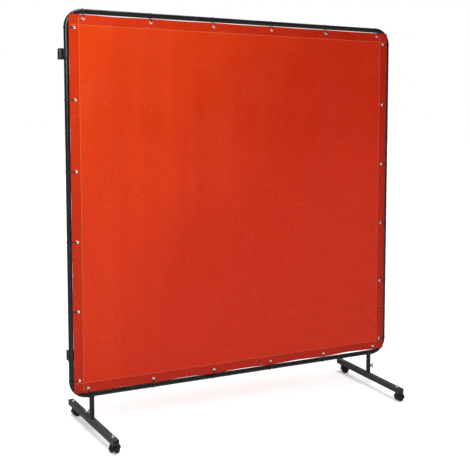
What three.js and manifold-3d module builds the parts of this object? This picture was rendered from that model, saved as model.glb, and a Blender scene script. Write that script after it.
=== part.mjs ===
// Welding curtain screen: a ring of bent round tube on two castor feet, with a tinted curtain
// tied in by its eyelets. Millimetres, +Z up. The origin is on the floor under the middle of the
// ring, +X runs along the panel to the right and -Y is the curtain's side.

import * as THREE from 'three';
import { mergeVertices } from 'three/addons/utils/BufferGeometryUtils.js';
import Module from 'manifold-3d';

const wasm = await Module();
wasm.setup();

// ---- driving dimensions ----

const GAP = 0.3; // running gap between pieces that touch
const DEG = Math.PI / 180;

const TUBE_R = 12.5; // 25 mm round tube
const TUBE_WALL = 1.5;
const RING_SIZE = 1900; // outside width and height of the ring
const RING_BEND_R = 90; // outside radius of its four bends
const BEND_STEPS = 5;

const CASTOR_H = 50; // floor to the underside of the foot
const FOOT_SIDE = 30; // square tube
const FOOT_WALL = 2;
const FOOT_LENGTH = 650;
const LEG_DROP = 110; // top of the foot to the underside of the ring
const LEG_X = 837; // legs each side of the middle
const FOOT_TURN = [3.5 * DEG, -2 * DEG]; // how the left and right feet stand swivelled

const FOOT_TOP = CASTOR_H + FOOT_SIDE;
const RING_BOTTOM = FOOT_TOP + LEG_DROP;
const RING_MID_Z = RING_BOTTOM + RING_SIZE / 2;
const TUBE_LINE = RING_SIZE / 2 - TUBE_R; // the tube's centre line from the ring's middle

const VENT_R = 4; // vent holes from the ring into the legs
const SPIGOT_R = 10.4; // inner tube of a foot, inside the leg
const SPIGOT_WALL = 2;
const SPIGOT_TOP = FOOT_TOP + 76;
const PLUG_FLANGE = 2.5; // foot end plugs
const PLUG_DEPTH = 12;

const CLAMP_Z = FOOT_TOP + 40; // wing bolt's height
const CLAMP_BOLT_R = 4;
const CLAMP_NUT_AF = 13;
const CLAMP_NUT_T = 6.5;
const WING_SPAN = 32;
const WING_T = 3.5;
const WING_TURN = [86 * DEG, 4 * DEG]; // where the left and right wings stand

const CURTAIN_SIZE = [1850, 1842]; // width and height
const CURTAIN_T = 0.8;
const CURTAIN_FRONT = TUBE_R + 1.7; // front face, forward of the tube's centre line
const EYELET_R = 5; // open hole
const EYELET_INSET = 48.5; // row of eyelets, in from the ring's outer edge
const EYELET_END = 93; // first and last eyelet, in from the ring's outer edge
const EYELETS_PER_SIDE = 6;

const TIE_W = 4.8;
const TIE_T = 1.2;
const TIE_TUBE_R = TUBE_R + 1.4; // band's middle where it goes round the tube
const TIE_HOLE_R = 2.8; // band's middle where it turns through the eyelet
const TIE_HEAD = [7, 5.4, 8]; // around the tube, away from it, along it

const CLIP_BORE_R = 13;
const CLIP_WALL = 2.8;
const CLIP_PITCH = 30; // ring's tube to neighbour's tube
const CLIP_HEIGHT = 52;
const CLIP_FROM_EDGE = 218; // clip's middle from the ring's top and bottom edges
const CLIP_MOUTH = 55 * DEG; // half the mouth of each C
const LOWER_CLIP_TURN = -90 * DEG; // turned to the back

const STEM_Y = 286; // castor stems each side of the leg
const STEM_R = 4;
const STEM_LOW = 26;
const STEM_TOP = FOOT_TOP + 11;
const STEM_COLLAR_R = 8;
const STEM_COLLAR_T = 2.5;
const STEM_NUT_AF = 13;
const STEM_NUT_T = 6.5;

const WHEEL_R = 20;
const WHEEL_IN = 6.8; // inner and outer faces of the twin wheels, from the middle
const WHEEL_OUT = 21;
const WHEEL_EDGE = 2.2;
const AXLE_R = 3;
const TRAIL = 16; // wheel centre behind the stem
const HOOD_R = 23;
const HOOD_WALL = 2;
const HOOD_W = 44;
const HOOD_WEB = 12;
const HUB_R = 7.5;
const BOSS_R = 9.5;
const BOSS_TOP = CASTOR_H - GAP - STEM_COLLAR_T - 0.5;

// Each castor: which foot end it is under and which way it trails.
const CASTORS = [
  { foot: 'left', end: 'front', trail: 42 * DEG },
  { foot: 'left', end: 'rear', trail: 6 * DEG },
  { foot: 'right', end: 'front', trail: 2 * DEG },
  { foot: 'right', end: 'rear', trail: -18 * DEG },
];

// ---- materials ----

const paint = (color, roughness, metalness) =>
  new THREE.MeshStandardMaterial({ color, roughness, metalness });

const framePaint = () => paint(0x17171a, 0.35, 0.6);
const footPaint = () => paint(0x3c3d40, 0.5, 0.6);
const zinc = () => paint(0xc4c7ca, 0.3, 1);
const blackPlastic = () => paint(0x131314, 0.55, 0);
const wheelPlastic = () => paint(0x1b1b1d, 0.5, 0);
const curtainVinyl = () => paint(0xd23a1c, 0.25, 0);

// ---- geometry helpers ----

/** The geometry with only positions, its shared corners merged. */
function merged(geometry) {
  const bare = geometry.clone();
  bare.deleteAttribute('normal');
  bare.deleteAttribute('uv');
  return mergeVertices(bare, 1e-4);
}

/** A manifold-3d solid from a closed three.js geometry. */
function solid(geometry) {
  const closed = merged(geometry);
  return new wasm.Manifold(
    new wasm.Mesh({
      numProp: 3,
      vertProperties: new Float32Array(closed.attributes.position.array),
      triVerts: new Uint32Array(closed.index.array),
    }),
  );
}

/** A three.js geometry from a manifold-3d solid. */
function surface(body) {
  const mesh = body.getMesh();
  const geometry = new THREE.BufferGeometry();
  geometry.setAttribute('position', new THREE.BufferAttribute(mesh.vertProperties, 3));
  geometry.setIndex(new THREE.BufferAttribute(mesh.triVerts, 1));
  geometry.computeVertexNormals();
  return geometry;
}

/** The first geometry joined with the second list and cut by the third. */
function carve(base, joined, cuts) {
  let body = solid(base);
  for (const extra of joined) body = body.add(solid(extra));
  for (const cut of cuts) body = body.subtract(solid(cut));
  return surface(body);
}

/** A named mesh. */
function piece(name, geometry, material) {
  const mesh = new THREE.Mesh(geometry, material);
  mesh.name = name;
  return mesh;
}

/** A round bar along X, Y or Z, centred on the origin. */
function bar(radius, length, axis, sides = 16) {
  const geometry = new THREE.CylinderGeometry(radius, radius, length, sides);
  if (axis === 'x') geometry.rotateZ(-90 * DEG);
  if (axis === 'z') geometry.rotateX(90 * DEG);
  return geometry;
}

/** A full circle as a path for a shape's outline or hole. */
function circle(x, y, radius, Kind = THREE.Path) {
  const path = new Kind();
  path.absarc(x, y, radius, 0, 2 * Math.PI, false);
  return path;
}

/** A round tube along +Z from z = 0, with 2 * halfSides sides. */
function roundTube(radius, wall, length, halfSides) {
  const section = circle(0, 0, radius, THREE.Shape);
  section.holes.push(circle(0, 0, radius - wall));
  const options = { depth: length, bevelEnabled: false, curveSegments: halfSides };
  return new THREE.ExtrudeGeometry(section, options);
}

/** A square with rounded corners, centred on the origin. */
function roundedSquare(side, radius, Kind = THREE.Shape) {
  const inner = side / 2 - radius;
  const path = new Kind();
  for (let corner = 0; corner < 4; corner += 1) {
    const middle = (45 + 90 * corner) * DEG;
    const x = Math.sign(Math.cos(middle)) * inner;
    const y = Math.sign(Math.sin(middle)) * inner;
    path.absarc(x, y, radius, middle - 45 * DEG, middle + 45 * DEG, false);
  }
  return path;
}

/** A hexagonal nut along +Z from z = 0. */
function hexNut(acrossFlats, thickness, boreRadius) {
  const corner = acrossFlats / 2 / Math.cos(30 * DEG);
  const outline = new THREE.Shape();
  for (let k = 0; k < 6; k += 1) {
    const angle = k * 60 * DEG;
    const x = corner * Math.cos(angle);
    const y = corner * Math.sin(angle);
    if (k === 0) outline.moveTo(x, y);
    else outline.lineTo(x, y);
  }
  outline.closePath();
  outline.holes.push(circle(0, 0, boreRadius));
  const options = { depth: thickness, bevelEnabled: false, curveSegments: 6 };
  return new THREE.ExtrudeGeometry(outline, options);
}

/** A path whose stations are given one by one, so that a straight run is a single step. */
class StationPath extends THREE.Curve {
  constructor(stations) {
    super();
    this.stations = stations;
  }

  station(u) {
    return this.stations[Math.round(u * (this.stations.length - 1))];
  }

  getPointAt(u, target = new THREE.Vector3()) {
    return target.copy(this.station(u).point);
  }

  getTangentAt(u, target = new THREE.Vector3()) {
    return target.copy(this.station(u).tangent);
  }
}

/** Stations round the ring in the XZ plane, the last one back on the first. */
function ringStations() {
  const bendR = RING_BEND_R - TUBE_R;
  const reach = RING_SIZE / 2 - RING_BEND_R;
  const stations = [];
  for (let corner = 0; corner < 4; corner += 1) {
    const middle = (45 + 90 * corner) * DEG;
    const centreX = Math.sign(Math.cos(middle)) * reach;
    const centreZ = Math.sign(Math.sin(middle)) * reach + RING_MID_Z;
    for (let step = 0; step <= BEND_STEPS; step += 1) {
      const angle = middle + (step / BEND_STEPS - 0.5) * 90 * DEG;
      const x = centreX + bendR * Math.cos(angle);
      const z = centreZ + bendR * Math.sin(angle);
      stations.push({
        point: new THREE.Vector3(x, 0, z),
        tangent: new THREE.Vector3(-Math.sin(angle), 0, Math.cos(angle)),
      });
    }
  }
  stations.push(stations[0]);
  return stations;
}

/** A round section swept round the ring. Its two ends meet, so only its sides are kept. */
function ringSweep(radius, halfSides) {
  const stations = ringStations();
  const swept = new THREE.ExtrudeGeometry(circle(0, 0, radius, THREE.Shape), {
    extrudePath: new StationPath(stations),
    steps: stations.length - 1,
    curveSegments: halfSides,
  });
  const sides = swept.groups[1];
  const all = swept.attributes.position.array;
  const kept = all.slice(sides.start * 3, (sides.start + sides.count) * 3);
  const geometry = new THREE.BufferGeometry();
  geometry.setAttribute('position', new THREE.BufferAttribute(kept, 3));
  return geometry;
}

// ---- frame ----

/** The bent ring: one hollow tube with a vent hole into each leg. */
function frameTube() {
  const hollow = ringSweep(TUBE_R - TUBE_WALL, 6);
  const vents = [-LEG_X, LEG_X].map((x) => {
    const vent = bar(VENT_R, 2 * TUBE_R, 'z', 8);
    return vent.translate(x, 0, RING_BOTTOM);
  });
  return piece('frame_tube', carve(ringSweep(TUBE_R, 8), [], [hollow, ...vents]), framePaint());
}

/** A leg: fitted to the underside of the ring, with a hole for the wing bolt's tip. */
function leg(side) {
  const tube = roundTube(TUBE_R, TUBE_WALL, LEG_DROP + TUBE_R, 8);
  const rail = bar(TUBE_R + 2 * GAP, 4 * TUBE_R, 'x', 24);
  rail.translate(0, 0, LEG_DROP + TUBE_R);
  const boltHole = bar(CLAMP_BOLT_R + GAP, 2 * TUBE_R, 'x', 12);
  boltHole.translate(side.sign * TUBE_R, 0, CLAMP_Z - FOOT_TOP);
  const geometry = carve(tube, [], [rail, boltHole]);
  const mesh = piece(`${side.name}_leg`, geometry, framePaint());
  mesh.position.set(side.sign * LEG_X, 0, FOOT_TOP + GAP);
  return mesh;
}

/** The nut welded to the outer side of a leg. */
function clampNut(side) {
  const geometry = hexNut(CLAMP_NUT_AF, CLAMP_NUT_T, CLAMP_BOLT_R + GAP);
  geometry.rotateY(side.sign * 90 * DEG);
  const mesh = piece(`${side.name}_clamp_nut`, geometry, zinc());
  mesh.position.set(side.sign * (LEG_X + TUBE_R + GAP), 0, CLAMP_Z + GAP);
  return mesh;
}

/** A wing bolt: a shank that stops at the spigot, a hub and two wings, along +X from x = 0. */
function wingBolt(side) {
  const tip = SPIGOT_R + GAP;
  const hubStart = TUBE_R + CLAMP_NUT_T + 1.5;
  const hubEnd = hubStart + 10;
  const shank = bar(CLAMP_BOLT_R, hubEnd - tip, 'x', 12);
  shank.translate((tip + hubEnd) / 2, 0, 0);
  const hub = bar(6, hubEnd - hubStart, 'x', 12);
  hub.translate((hubStart + hubEnd) / 2, 0, 0);
  const reach = WING_SPAN / 2;
  const wings = new THREE.Shape();
  wings.moveTo(hubStart + 1, -4);
  wings.lineTo(hubStart + 6, -reach + 5);
  wings.absarc(hubStart + 13, -reach + 6, 6, 200 * DEG, 340 * DEG, false);
  wings.lineTo(hubEnd - 2, -2);
  wings.lineTo(hubEnd - 2, 2);
  wings.absarc(hubStart + 13, reach - 6, 6, 20 * DEG, 160 * DEG, false);
  wings.lineTo(hubStart + 6, reach - 5);
  wings.lineTo(hubStart + 1, 4);
  const blade = new THREE.ExtrudeGeometry(wings, {
    depth: WING_T,
    bevelEnabled: false,
    curveSegments: 3,
  });
  blade.translate(0, 0, -WING_T / 2);
  blade.rotateX(90 * DEG);
  const mesh = piece(`${side.name}_wing_bolt`, carve(shank, [hub, blade], []), zinc());
  mesh.rotation.set(side.turn, 0, side.sign > 0 ? 0 : Math.PI, 'ZYX');
  mesh.position.set(side.sign * LEG_X, 0, CLAMP_Z + GAP);
  return mesh;
}

// ---- curtain and its ties ----

/** Where the eyelets sit along one side, from the side's middle. */
function eyeletPlaces() {
  const first = RING_SIZE / 2 - EYELET_END;
  const pitch = (2 * first) / (EYELETS_PER_SIDE - 1);
  return Array.from({ length: EYELETS_PER_SIDE }, (_, k) => -first + k * pitch);
}

/** The four sides: the way in towards the middle, and the way along the side. */
const SIDES = [
  { name: 'top', inward: [0, 0, -1], along: [1, 0, 0] },
  { name: 'bottom', inward: [0, 0, 1], along: [1, 0, 0] },
  { name: 'left', inward: [1, 0, 0], along: [0, 0, -1] },
  { name: 'right', inward: [-1, 0, 0], along: [0, 0, -1] },
];

/** The sheet: a flat rectangle with a hole for each eyelet. */
function curtain() {
  const [halfWidth, halfHeight] = CURTAIN_SIZE.map((size) => size / 2);
  const sheet = new THREE.Shape();
  sheet.moveTo(-halfWidth, -halfHeight);
  sheet.lineTo(halfWidth, -halfHeight);
  sheet.lineTo(halfWidth, halfHeight);
  sheet.lineTo(-halfWidth, halfHeight);
  sheet.closePath();
  const row = RING_SIZE / 2 - EYELET_INSET;
  for (const { inward, along } of SIDES) {
    for (const place of eyeletPlaces()) {
      const x = along[0] * place - inward[0] * row;
      const z = along[2] * place - inward[2] * row;
      sheet.holes.push(circle(x, z, EYELET_R));
    }
  }
  const geometry = new THREE.ExtrudeGeometry(sheet, {
    depth: CURTAIN_T,
    bevelEnabled: false,
    curveSegments: 5,
  });
  geometry.rotateX(90 * DEG);
  const mesh = piece('curtain', geometry, curtainVinyl());
  mesh.position.set(0, CURTAIN_T - CURTAIN_FRONT, RING_MID_Z);
  return mesh;
}

/** Points of a belt's edge round the tube and round the turn in the eyelet, offset sideways. */
function beltPoints(offset) {
  const turnX = TUBE_R + EYELET_INSET - 2 * TUBE_R - TIE_HOLE_R;
  const turnY = CURTAIN_FRONT - CURTAIN_T / 2;
  const distance = Math.hypot(turnX, turnY);
  const heading = Math.atan2(turnY, turnX);
  const lean = Math.acos((TIE_TUBE_R - TIE_HOLE_R) / distance);
  const arcs = [
    { x: 0, y: 0, r: TIE_TUBE_R + offset, from: heading + lean, to: heading - lean + 2 * Math.PI, steps: 8 },
    { x: turnX, y: turnY, r: TIE_HOLE_R + offset, from: heading - lean, to: heading + lean, steps: 3 },
  ];
  const points = [];
  for (const { x, y, r, from, to, steps } of arcs) {
    for (let k = 0; k <= steps; k += 1) {
      const angle = from + ((to - from) * k) / steps;
      points.push(new THREE.Vector2(x + r * Math.cos(angle), y + r * Math.sin(angle)));
    }
  }
  return points;
}

/** One cable tie. In its own plane x is in towards the curtain and y is forwards. */
function tieGeometry() {
  const belt = new THREE.Shape(beltPoints(TIE_T / 2));
  belt.holes.push(new THREE.Path(beltPoints(-TIE_T / 2)));
  const band = new THREE.ExtrudeGeometry(belt, { depth: TIE_W, bevelEnabled: false });
  band.translate(0, 0, -TIE_W / 2);
  const head = new THREE.BoxGeometry(...TIE_HEAD);
  head.translate(0, -TIE_TUBE_R - TIE_HEAD[1] / 2 + 0.4, 0);
  return carve(band, [head], []);
}

/** The cable ties of one side, each through its eyelet and round the tube. */
function sideTies({ name, inward, along }, geometry) {
  const basis = new THREE.Matrix4();
  const inwardAxis = new THREE.Vector3(...inward);
  const forward = new THREE.Vector3(0, -1, 0);
  basis.makeBasis(inwardAxis, forward, inwardAxis.clone().cross(forward));
  return eyeletPlaces().map((place, k) => {
    const mesh = piece(`tie_${name}_${k + 1}`, geometry, blackPlastic());
    mesh.quaternion.setFromRotationMatrix(basis);
    mesh.position.set(0, 0, RING_MID_Z);
    mesh.position.addScaledVector(inwardAxis, -TUBE_LINE);
    mesh.position.addScaledVector(new THREE.Vector3(...along), place);
    return mesh;
  });
}

// ---- coupling clips ----

/** The plan of one C, centred at x, with its mouth centred on the given angle. */
function clipC(x, mouth) {
  const outline = new THREE.Shape();
  const from = mouth + CLIP_MOUTH;
  const to = mouth + 2 * Math.PI - CLIP_MOUTH;
  outline.absarc(x, 0, CLIP_BORE_R + CLIP_WALL, from, to, false);
  outline.absarc(x, 0, CLIP_BORE_R, to, from, true);
  outline.closePath();
  const options = { depth: CLIP_HEIGHT, bevelEnabled: false, curveSegments: 7 };
  return new THREE.ExtrudeGeometry(outline, options);
}

/** A double clip: one C snapped on the ring's left upright, one C open for a neighbour's. */
function couplingClip(name, height, turn) {
  const web = new THREE.BoxGeometry(3, 2 * TUBE_R, CLIP_HEIGHT);
  web.translate(-CLIP_PITCH / 2, 0, CLIP_HEIGHT / 2);
  const geometry = carve(clipC(0, 0), [clipC(-CLIP_PITCH, Math.PI), web], []);
  const mesh = piece(name, geometry, blackPlastic());
  mesh.position.set(-TUBE_LINE, 0, height - CLIP_HEIGHT / 2);
  mesh.rotation.z = turn;
  return mesh;
}

// ---- feet ----

/** A foot's square tube along Y, with a hole through it for each castor stem. */
function footTube(side) {
  const section = roundedSquare(FOOT_SIDE, 3);
  section.holes.push(roundedSquare(FOOT_SIDE - 2 * FOOT_WALL, 1.5, THREE.Path));
  const tube = new THREE.ExtrudeGeometry(section, {
    depth: FOOT_LENGTH,
    bevelEnabled: false,
    curveSegments: 1,
  });
  tube.translate(0, 0, -FOOT_LENGTH / 2);
  tube.rotateX(90 * DEG);
  const holes = [-STEM_Y, STEM_Y].map((y) => {
    const hole = bar(STEM_R + 1.5 * GAP, 2 * FOOT_SIDE, 'z', 12);
    return hole.translate(0, y, 0);
  });
  const mesh = piece(`${side.name}_foot_tube`, carve(tube, [], holes), footPaint());
  mesh.position.z = CASTOR_H + FOOT_SIDE / 2;
  return mesh;
}

/** The inner tube that stands on a foot and slides into the leg. */
function spigot(side) {
  const start = FOOT_TOP + GAP;
  const geometry = roundTube(SPIGOT_R, SPIGOT_WALL, SPIGOT_TOP - start, 8);
  const mesh = piece(`${side.name}_spigot`, geometry, footPaint());
  mesh.position.z = start;
  return mesh;
}

/** A plastic plug in one end of a foot: a flange and a stub inside the tube. */
function endPlug(side, end) {
  const flange = new THREE.ExtrudeGeometry(roundedSquare(FOOT_SIDE, 3), {
    depth: PLUG_FLANGE,
    bevelEnabled: false,
    curveSegments: 1,
  });
  const stubSide = FOOT_SIDE - 2 * FOOT_WALL - 2 * GAP;
  const stub = new THREE.ExtrudeGeometry(roundedSquare(stubSide, 1.5), {
    depth: PLUG_DEPTH + PLUG_FLANGE / 2,
    bevelEnabled: false,
    curveSegments: 1,
  });
  stub.translate(0, 0, -PLUG_DEPTH);
  const geometry = carve(flange, [stub], []);
  geometry.rotateX(end.sign > 0 ? -90 * DEG : 90 * DEG);
  const mesh = piece(`${side.name}_foot_${end.name}_plug`, geometry, blackPlastic());
  mesh.position.set(0, end.sign * (FOOT_LENGTH / 2 + GAP), CASTOR_H + FOOT_SIDE / 2);
  return mesh;
}

// ---- castors, each about its stem with the floor at z = 0 and trailing along +X ----

/** The stem: a threaded stud through the foot with a collar under it. */
function stemGeometry() {
  const collarTop = CASTOR_H - GAP;
  const profile = [
    [0, STEM_LOW],
    [STEM_R, STEM_LOW],
    [STEM_R, collarTop - STEM_COLLAR_T],
    [STEM_COLLAR_R, collarTop - STEM_COLLAR_T],
    [STEM_COLLAR_R, collarTop],
    [STEM_R, collarTop],
    [STEM_R, STEM_TOP],
    [0, STEM_TOP],
  ];
  const points = profile.map(([r, z]) => new THREE.Vector2(r, z));
  return new THREE.LatheGeometry(points, 12).rotateX(90 * DEG);
}

/** The hood: a mudguard over both wheels, a web between them and a boss round the stem. */
function hoodGeometry() {
  const dome = new THREE.Shape();
  dome.absarc(TRAIL, WHEEL_R, HOOD_R, 0, Math.PI, false);
  dome.closePath();
  const options = { depth: HOOD_W, bevelEnabled: false, curveSegments: 7 };
  const guard = new THREE.ExtrudeGeometry(dome, options);
  guard.rotateX(90 * DEG).translate(0, HOOD_W / 2, 0);
  const hub = bar(HUB_R, HOOD_WEB, 'y', 14).translate(TRAIL, 0, WHEEL_R);
  const bossLow = CASTOR_H - 16;
  const boss = bar(BOSS_R, BOSS_TOP - bossLow, 'z', 14);
  boss.translate(0, 0, (BOSS_TOP + bossLow) / 2);
  const wheelRooms = [-1, 1].map((sign) => {
    const room = bar(HOOD_R - HOOD_WALL, HOOD_W, 'y', 20);
    return room.translate(TRAIL, (sign * (HOOD_WEB + HOOD_W)) / 2, WHEEL_R);
  });
  const axleBore = bar(AXLE_R + GAP, 2 * HOOD_WEB, 'y', 12).translate(TRAIL, 0, WHEEL_R);
  const stemBore = bar(STEM_R + GAP, CASTOR_H, 'z', 12);
  stemBore.translate(0, 0, STEM_LOW - 1 + CASTOR_H / 2);
  return carve(guard, [hub, boss], [...wheelRooms, axleBore, stemBore]);
}

/** The twin wheels with the axle that joins them, turned as one piece about the axle. */
function wheelGeometry() {
  const half = [
    [AXLE_R, WHEEL_IN],
    [WHEEL_R - WHEEL_EDGE, WHEEL_IN],
    [WHEEL_R, WHEEL_IN + WHEEL_EDGE],
    [WHEEL_R, WHEEL_OUT - WHEEL_EDGE],
    [WHEEL_R - WHEEL_EDGE, WHEEL_OUT],
    [0, WHEEL_OUT],
  ];
  const other = half.map(([r, y]) => [r, -y]).reverse();
  const points = [...other, ...half].map(([r, y]) => new THREE.Vector2(r, y));
  return new THREE.LatheGeometry(points, 20).translate(TRAIL, 0, WHEEL_R);
}

/** The four pieces of one castor; its nut stands on top of the foot. */
function castor({ foot, end, trail }, shared) {
  const name = `${foot}_${end}`;
  const swivelling = new THREE.Group();
  swivelling.rotation.z = trail;
  swivelling.add(piece(`${name}_hood`, shared.hood, blackPlastic()));
  swivelling.add(piece(`${name}_wheels`, shared.wheels, wheelPlastic()));
  const nut = piece(`${name}_stem_nut`, shared.nut, zinc());
  nut.position.z = FOOT_TOP + GAP;
  const whole = new THREE.Group();
  whole.add(piece(`${name}_stem`, shared.stem, zinc()), nut, swivelling);
  whole.position.y = end === 'front' ? -STEM_Y : STEM_Y;
  return whole;
}

// ---- assembly ----

const group = new THREE.Group();

group.add(frameTube(), curtain());

const oneTie = tieGeometry();
for (const side of SIDES) group.add(...sideTies(side, oneTie));

group.add(couplingClip('upper_coupler', RING_BOTTOM + RING_SIZE - CLIP_FROM_EDGE, 0));
group.add(couplingClip('lower_coupler', RING_BOTTOM + CLIP_FROM_EDGE, LOWER_CLIP_TURN));

const castorShapes = {
  stem: stemGeometry(),
  nut: hexNut(STEM_NUT_AF, STEM_NUT_T, STEM_R + GAP),
  hood: hoodGeometry(),
  wheels: wheelGeometry(),
};
const ENDS = [
  { name: 'front', sign: -1 },
  { name: 'rear', sign: 1 },
];
const FEET = [
  { name: 'left', sign: -1, turn: WING_TURN[0], footTurn: FOOT_TURN[0] },
  { name: 'right', sign: 1, turn: WING_TURN[1], footTurn: FOOT_TURN[1] },
];
for (const side of FEET) {
  group.add(leg(side), clampNut(side), wingBolt(side));
  const foot = new THREE.Group();
  foot.position.x = side.sign * LEG_X;
  foot.rotation.z = side.footTurn;
  foot.add(footTube(side), spigot(side), ...ENDS.map((end) => endPlug(side, end)));
  const under = CASTORS.filter((wheel) => wheel.foot === side.name);
  foot.add(...under.map((wheel) => castor(wheel, castorShapes)));
  group.add(foot);
}

export default group;
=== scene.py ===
"""Looks of a welding curtain screen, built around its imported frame. Metres, +Z up.

The tube ring, legs, feet, castors, clips, ties, eyelets and the curtain's film are surfaces
worked out on grids, each placed from the boxes of the nodes that it stands for.
"""

import math

import bmesh
import bpy
import numpy as np
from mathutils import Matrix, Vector


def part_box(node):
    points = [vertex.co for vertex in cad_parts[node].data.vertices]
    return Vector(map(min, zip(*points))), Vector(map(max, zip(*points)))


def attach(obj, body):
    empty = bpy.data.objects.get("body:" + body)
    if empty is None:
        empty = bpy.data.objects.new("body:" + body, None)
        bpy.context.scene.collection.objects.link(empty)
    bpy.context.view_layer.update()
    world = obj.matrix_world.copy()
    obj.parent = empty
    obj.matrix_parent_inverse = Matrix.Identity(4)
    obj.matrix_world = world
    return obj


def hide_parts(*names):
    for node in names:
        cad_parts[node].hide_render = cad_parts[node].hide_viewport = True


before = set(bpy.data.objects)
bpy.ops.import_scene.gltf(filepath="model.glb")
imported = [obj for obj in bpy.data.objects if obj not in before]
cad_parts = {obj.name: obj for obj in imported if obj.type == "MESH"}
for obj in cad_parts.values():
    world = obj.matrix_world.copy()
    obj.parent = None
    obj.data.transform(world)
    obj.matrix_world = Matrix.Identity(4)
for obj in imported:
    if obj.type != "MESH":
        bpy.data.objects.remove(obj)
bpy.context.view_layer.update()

# ---- sizes, from the frame and a few driving dimensions ----

MM = 0.001
TURN = 2 * math.pi

ring_low, ring_high = (np.array(corner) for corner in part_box("frame_tube"))
TUBE_R = (ring_high[1] - ring_low[1]) / 2
RING_HALF = (ring_high[0] - ring_low[0]) / 2
RING_MID_Z = (ring_low[2] + ring_high[2]) / 2
RING_BOTTOM = ring_low[2]
TUBE_LINE = RING_HALF - TUBE_R
BEND_R = 77.5 * MM

curtain_low, curtain_high = (np.array(corner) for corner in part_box("curtain"))
FILM_WIDER = 3.5 * MM
FILM_X = (curtain_high[0] - curtain_low[0]) / 2 + FILM_WIDER
FILM_Z = (curtain_high[2] - curtain_low[2]) / 2
FILM_FRONT = curtain_low[1]
FILM_BACK = curtain_high[1]
FILM_T = 0.34 * MM
FILM_GAP = 0.02 * MM
HEM_W = 49 * MM
HEM_T = 0.2 * MM
WELD_W = 5 * MM

EYELETS_PER_SIDE = 6
EYELET_INSET = 48.5 * MM
EYELET_END = 93 * MM
EYELET_HOLE = 5 * MM
EYELET_FLANGE = 8.2 * MM
EYELET_CELLS = 6.5 * MM
EYELET_CLEAR = 8 * MM

TIE_W = 4.8 * MM
TIE_T = 1.2 * MM
TIE_TUBE_R = TUBE_R + 1.4 * MM
TIE_TURN_R = 2.8 * MM

LEG_WALL = 1.5 * MM
FOOT_WALL = 2 * MM
FOOT_EDGE = 3 * MM
PLUG_FACE = 4.3 * MM

STUD_R = 4 * MM
THREAD_PITCH = 1.25 * MM
THREAD_DEPTH = 0.62 * MM
NUT_FLATS = 13 * MM

X_AXIS, Y_AXIS, Z_AXIS = np.eye(3)
FORWARD = -Y_AXIS

# The four sides of the ring: the way in towards the middle, and the way along the side.
SIDES = {
    "top": (-Z_AXIS, X_AXIS),
    "bottom": (Z_AXIS, X_AXIS),
    "left": (X_AXIS, -Z_AXIS),
    "right": (-X_AXIS, -Z_AXIS),
}
FEET = {"left": -1, "right": 1}
ENDS = ("front", "rear")

# ---- meshes ----


def quads_of(rows, columns, close_rows=False, close_columns=False):
    """Corner numbers of the four-sided faces of a grid of points, as an array of n by 4."""
    number = np.arange(rows * columns).reshape(rows, columns)
    beside = np.roll(number, -1, axis=1)
    corners = np.stack([number, beside, np.roll(beside, -1, axis=0), np.roll(number, -1, axis=0)], axis=2)
    kept = corners[: rows if close_rows else -1, : columns if close_columns else -1]
    return kept.reshape(-1, 4)


def grid(points, close_rows=False, close_columns=False):
    """A part: the points of a grid in one list, and its faces."""
    rows, columns = points.shape[:2]
    return points.reshape(-1, 3), quads_of(rows, columns, close_rows, close_columns).tolist()


def put_together(*parts):
    """Several parts as one part."""
    points, faces, start = [], [], 0
    for part_points, part_faces in parts:
        points.append(part_points)
        faces += [[corner + start for corner in face] for face in part_faces]
        start += len(part_points)
    return np.concatenate(points), faces


def stand(name, data):
    """An object in the scene."""
    made = bpy.data.objects.new(name, data)
    bpy.context.scene.collection.objects.link(made)
    return made


def piece(name, part, material, body, slot, replaces=(), sharp=35, merge=1e-6):
    """A finished piece: doubles merged, faces outwards, smooth below the sharp angle, riding on its body."""
    points, faces = part
    mesh = bpy.data.meshes.new(name)
    mesh.from_pydata(points.tolist(), [], faces)
    shape = bmesh.new()
    shape.from_mesh(mesh)
    bmesh.ops.remove_doubles(shape, verts=shape.verts, dist=merge)
    bmesh.ops.dissolve_degenerate(shape, edges=shape.edges, dist=merge / 10)
    bmesh.ops.recalc_face_normals(shape, faces=shape.faces)
    shape.to_mesh(mesh)
    shape.free()
    mesh.shade_smooth()
    mesh.set_sharp_from_angle(angle=math.radians(sharp))
    mesh.materials.append(material)
    made = stand(name, mesh)
    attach(made, body)
    if replaces:
        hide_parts(*replaces)
    return made


def place(part, origin, x_axis, y_axis, z_axis):
    """The part carried from its own axes to a place in the frame."""
    points, faces = part
    axes = np.stack([x_axis, y_axis, z_axis])
    return points @ axes + np.asarray(origin), faces


def in_mm(*rows):
    """Rows of millimetres as an array of metres."""
    return np.array(rows, dtype=float) * MM


def turns(count):
    """Angles evenly spaced round a turn."""
    return np.arange(count) * TURN / count


def circle(count):
    """A round section of unit radius."""
    return arc((0, 0), 1.0, 0, TURN, count + 1)[:-1]


def drawn_in(row):
    """A grid's row with all its points moved to their middle."""
    return np.repeat(row.mean(axis=1, keepdims=True), row.shape[1], axis=1)


def arc(centre, radius, start, end, count):
    """Points of a circle's arc in a plane, count of them, from start to end in radians."""
    angle = np.linspace(start, end, count)
    return np.stack([centre[0] + radius * np.cos(angle), centre[1] + radius * np.sin(angle)], axis=1)


def lathe(profile, count=48, wobble=None):
    """Turns a profile of (radius, height) points about Z: x = r cos a, y = r sin a, z = height.
    wobble(a, r, z) may change the radius round the turn. The profile closes on itself or ends on the axis."""
    profile = np.asarray(profile)
    angle = turns(count)
    radius, height = (np.tile(column, (count, 1)) for column in profile.T)
    if wobble:
        radius = wobble(angle[:, None], radius, height)
    around = [radius * np.cos(angle)[:, None], radius * np.sin(angle)[:, None], height]
    return grid(np.stack(around, axis=2), close_rows=True)


def loop_lathe(profile, count=48, wobble=None):
    """A lathe whose profile closes on itself, as a ring's does."""
    return lathe(np.concatenate([profile, profile[:1]]), count, wobble)


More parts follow.
